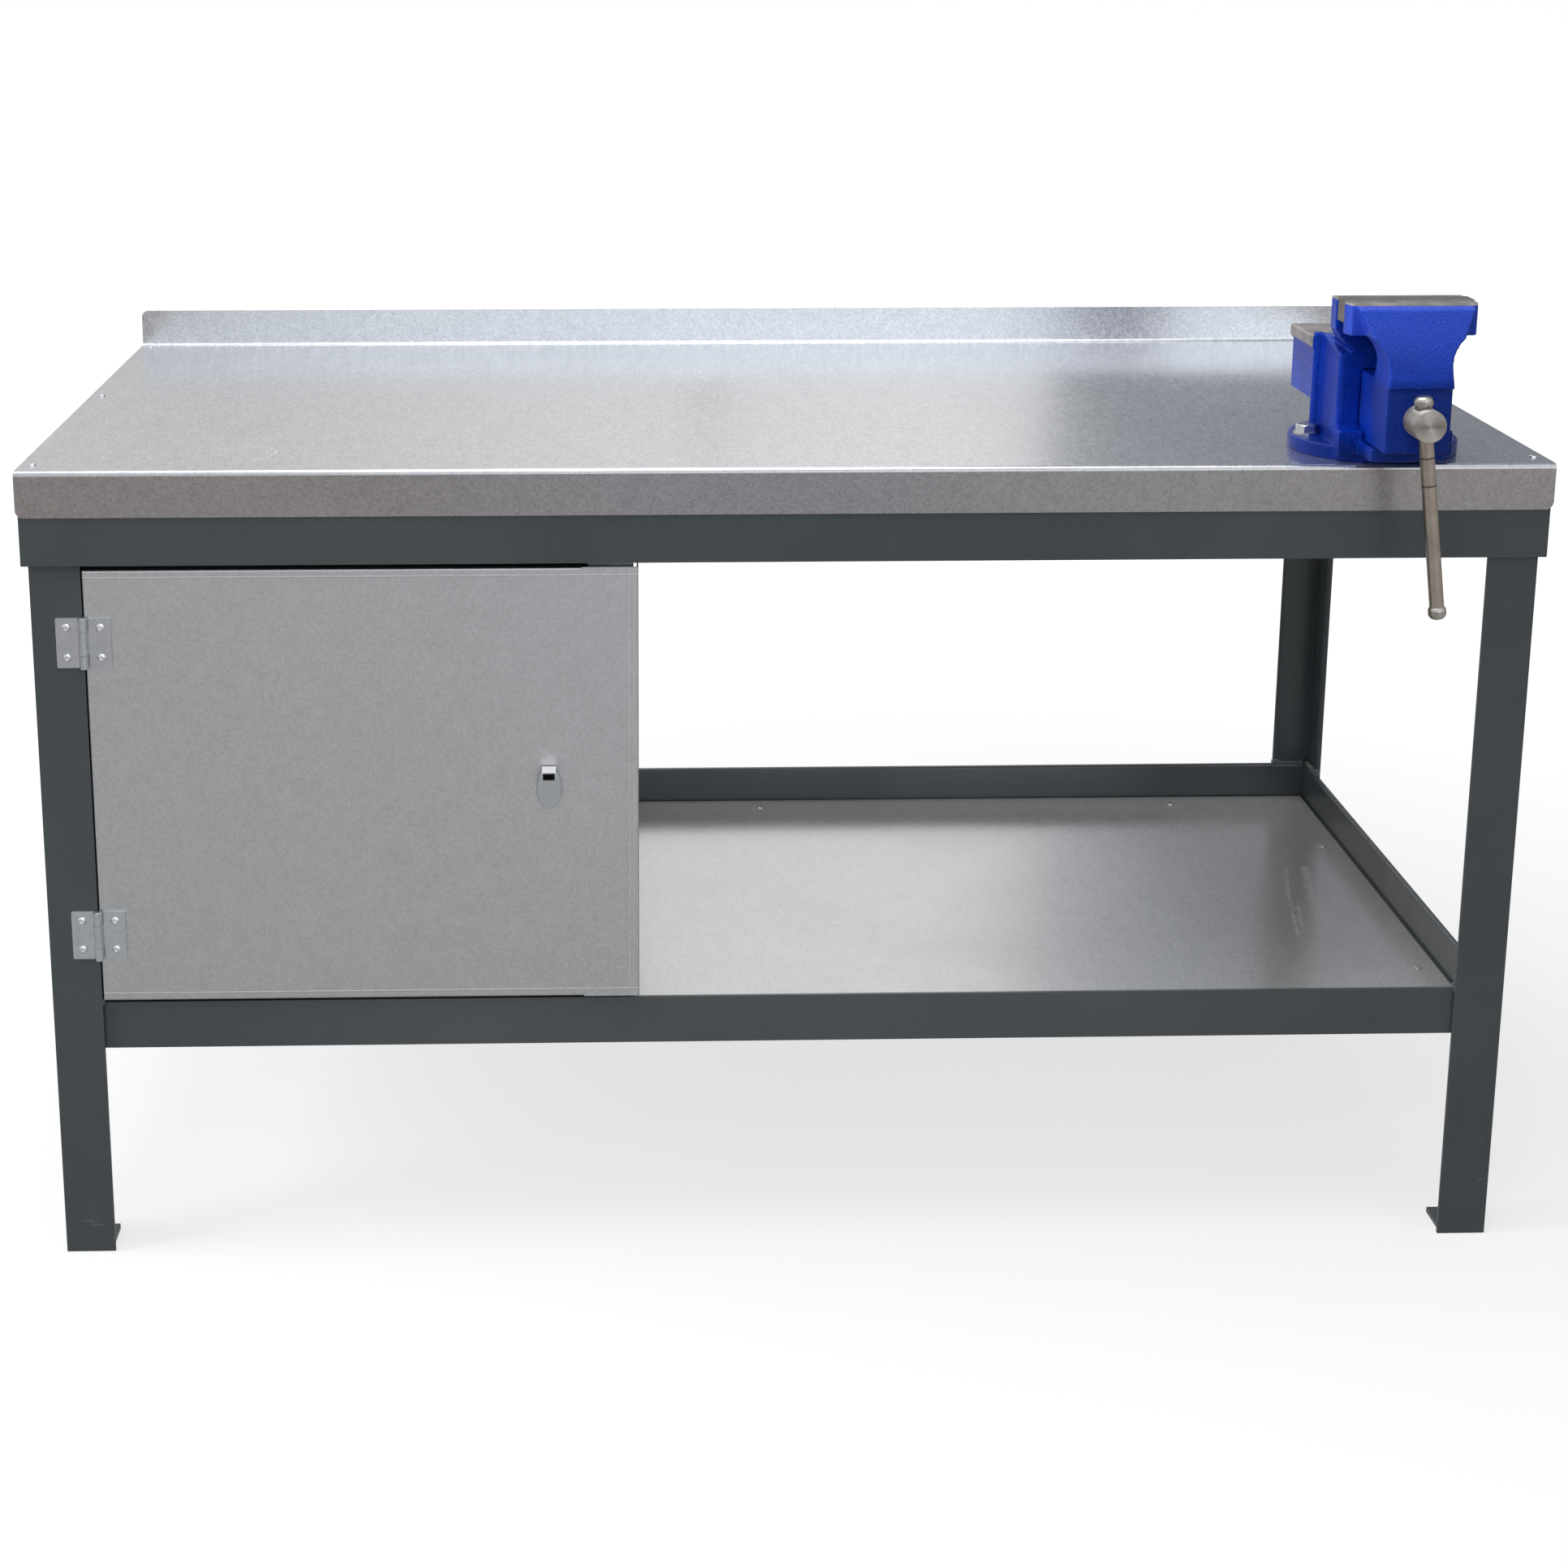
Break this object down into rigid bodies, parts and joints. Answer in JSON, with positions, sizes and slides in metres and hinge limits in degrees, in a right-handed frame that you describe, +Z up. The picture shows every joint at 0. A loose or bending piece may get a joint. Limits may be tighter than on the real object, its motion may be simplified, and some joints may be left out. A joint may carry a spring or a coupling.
{
  "type": "workbench",
  "caption": "Steel-framed workbench with a galvanised folded top and upstand, a lower shelf, a hinged cupboard door with a turn latch, and a bench vice with a sliding jaw.",
  "frame": {"origin": "on the floor, at the middle of the four floor bolt holes", "axes": "+X to the right along the front edge, +Y from the front to the back, +Z up; metres"},
  "size_m": [1.5, 0.8423, 0.993],
  "materials": {
    "frame_paint": "dark slate paint with a half gloss and a fine orange peel",
    "galvanised_sheet": "galvanised sheet steel with a fine spangle and soft reflections",
    "door_sheet": "zinc-coated sheet steel, even matt grey",
    "core_board": "plywood, unfinished",
    "vice_casting": "blue enamel over rough casting, with bare machined faces on the jaws and the anvil",
    "vice_steel": "turned steel, lightly oxidised",
    "jaw_steel": "hardened steel with a ground back and a serrated face",
    "latch_plating": "bright plated die casting",
    "zinc_hardware": "zinc-plated screws, bolts, rivets, hinges and cam"
  },
  "bodies": {
    "bench": {"leg_front_left": "frame_paint", "leg_front_right": "frame_paint", "leg_back_left": "frame_paint", "leg_back_right": "frame_paint", "foot_plate_front_left": "frame_paint", "foot_plate_front_right": "frame_paint", "foot_plate_back_left": "frame_paint", "foot_plate_back_right": "frame_paint", "top_rail_front": "frame_paint", "top_rail_right": "frame_paint", "top_rail_back": "frame_paint", "top_rail_left": "frame_paint", "shelf_rail_front": "frame_paint", "shelf_rail_right": "frame_paint", "shelf_rail_back": "frame_paint", "shelf_rail_left": "frame_paint", "top_bearer": "frame_paint", "shelf_bearer": "frame_paint", "worktop_board": "core_board", "worktop_sheet": "galvanised_sheet", "worktop_screws": "zinc_hardware", "board_screws": "zinc_hardware", "shelf_sheet": "galvanised_sheet", "shelf_screws": "zinc_hardware", "cupboard_side_panel": "galvanised_sheet", "cupboard_end_panel": "galvanised_sheet", "cupboard_back_panel": "galvanised_sheet", "strike_plate": "galvanised_sheet", "cupboard_screws": "zinc_hardware", "hinge_frame_leaf_upper": "zinc_hardware", "hinge_frame_leaf_lower": "zinc_hardware", "hinge_pins": "zinc_hardware", "frame_rivets": "zinc_hardware", "vice_body": "vice_casting", "fixed_jaw_plate": "jaw_steel", "fixed_jaw_screws": "jaw_steel", "vice_nut": "vice_steel", "vice_nut_screws": "zinc_hardware", "vice_bolts": "zinc_hardware", "vice_washers": "zinc_hardware", "vice_bolt_nuts": "zinc_hardware"},
    "door": {"door_panel": "door_sheet", "hinge_door_leaf_upper": "zinc_hardware", "hinge_door_leaf_lower": "zinc_hardware", "door_rivets": "zinc_hardware", "latch_bush": "latch_plating", "latch_nut": "latch_plating"},
    "latch": {"latch_handle": "latch_plating", "latch_cam": "zinc_hardware", "latch_cam_screw": "zinc_hardware"},
    "moving_jaw": {"moving_jaw": "vice_casting", "moving_jaw_plate": "jaw_steel", "moving_jaw_screws": "jaw_steel", "thrust_washer": "vice_steel"},
    "vice_spindle": {"vice_screw": "vice_steel", "screw_collar": "vice_steel"},
    "vice_handle": {"handle_bar": "vice_steel", "handle_knob_upper": "vice_steel", "handle_knob_lower": "vice_steel"}
  },
  "joints": [
    {"name": "door_hinge", "type": "hinge", "parent": "bench", "child": "door", "pos_m": [-0.6915, -0.3719, 0.504], "axis": [0, 0, -1], "range_deg": [0, 170]},
    {"name": "latch_turn", "type": "hinge", "parent": "door", "child": "latch", "pos_m": [-0.237, -0.369, 0.5035], "axis": [0, -1, 0], "range_deg": [0, 90]},
    {"name": "jaw_slide", "type": "slide", "parent": "bench", "child": "moving_jaw", "axis": [0, -1, 0], "range_m": [0, 0.125]},
    {"name": "spindle_turn", "type": "hinge", "parent": "moving_jaw", "child": "vice_spindle", "pos_m": [0.592, -0.4508, 0.8855], "axis": [0, -1, 0], "range_deg": [0, 9000]},
    {"name": "handle_slide", "type": "slide", "parent": "vice_spindle", "child": "vice_handle", "axis": [-0.1305, 0, 0.9914], "range_m": [0, 0.164]}
  ],
  "couplings": [
    {"joint": "jaw_slide", "follows": "spindle_turn", "m_per_rad": 0.00079577}
  ]
}
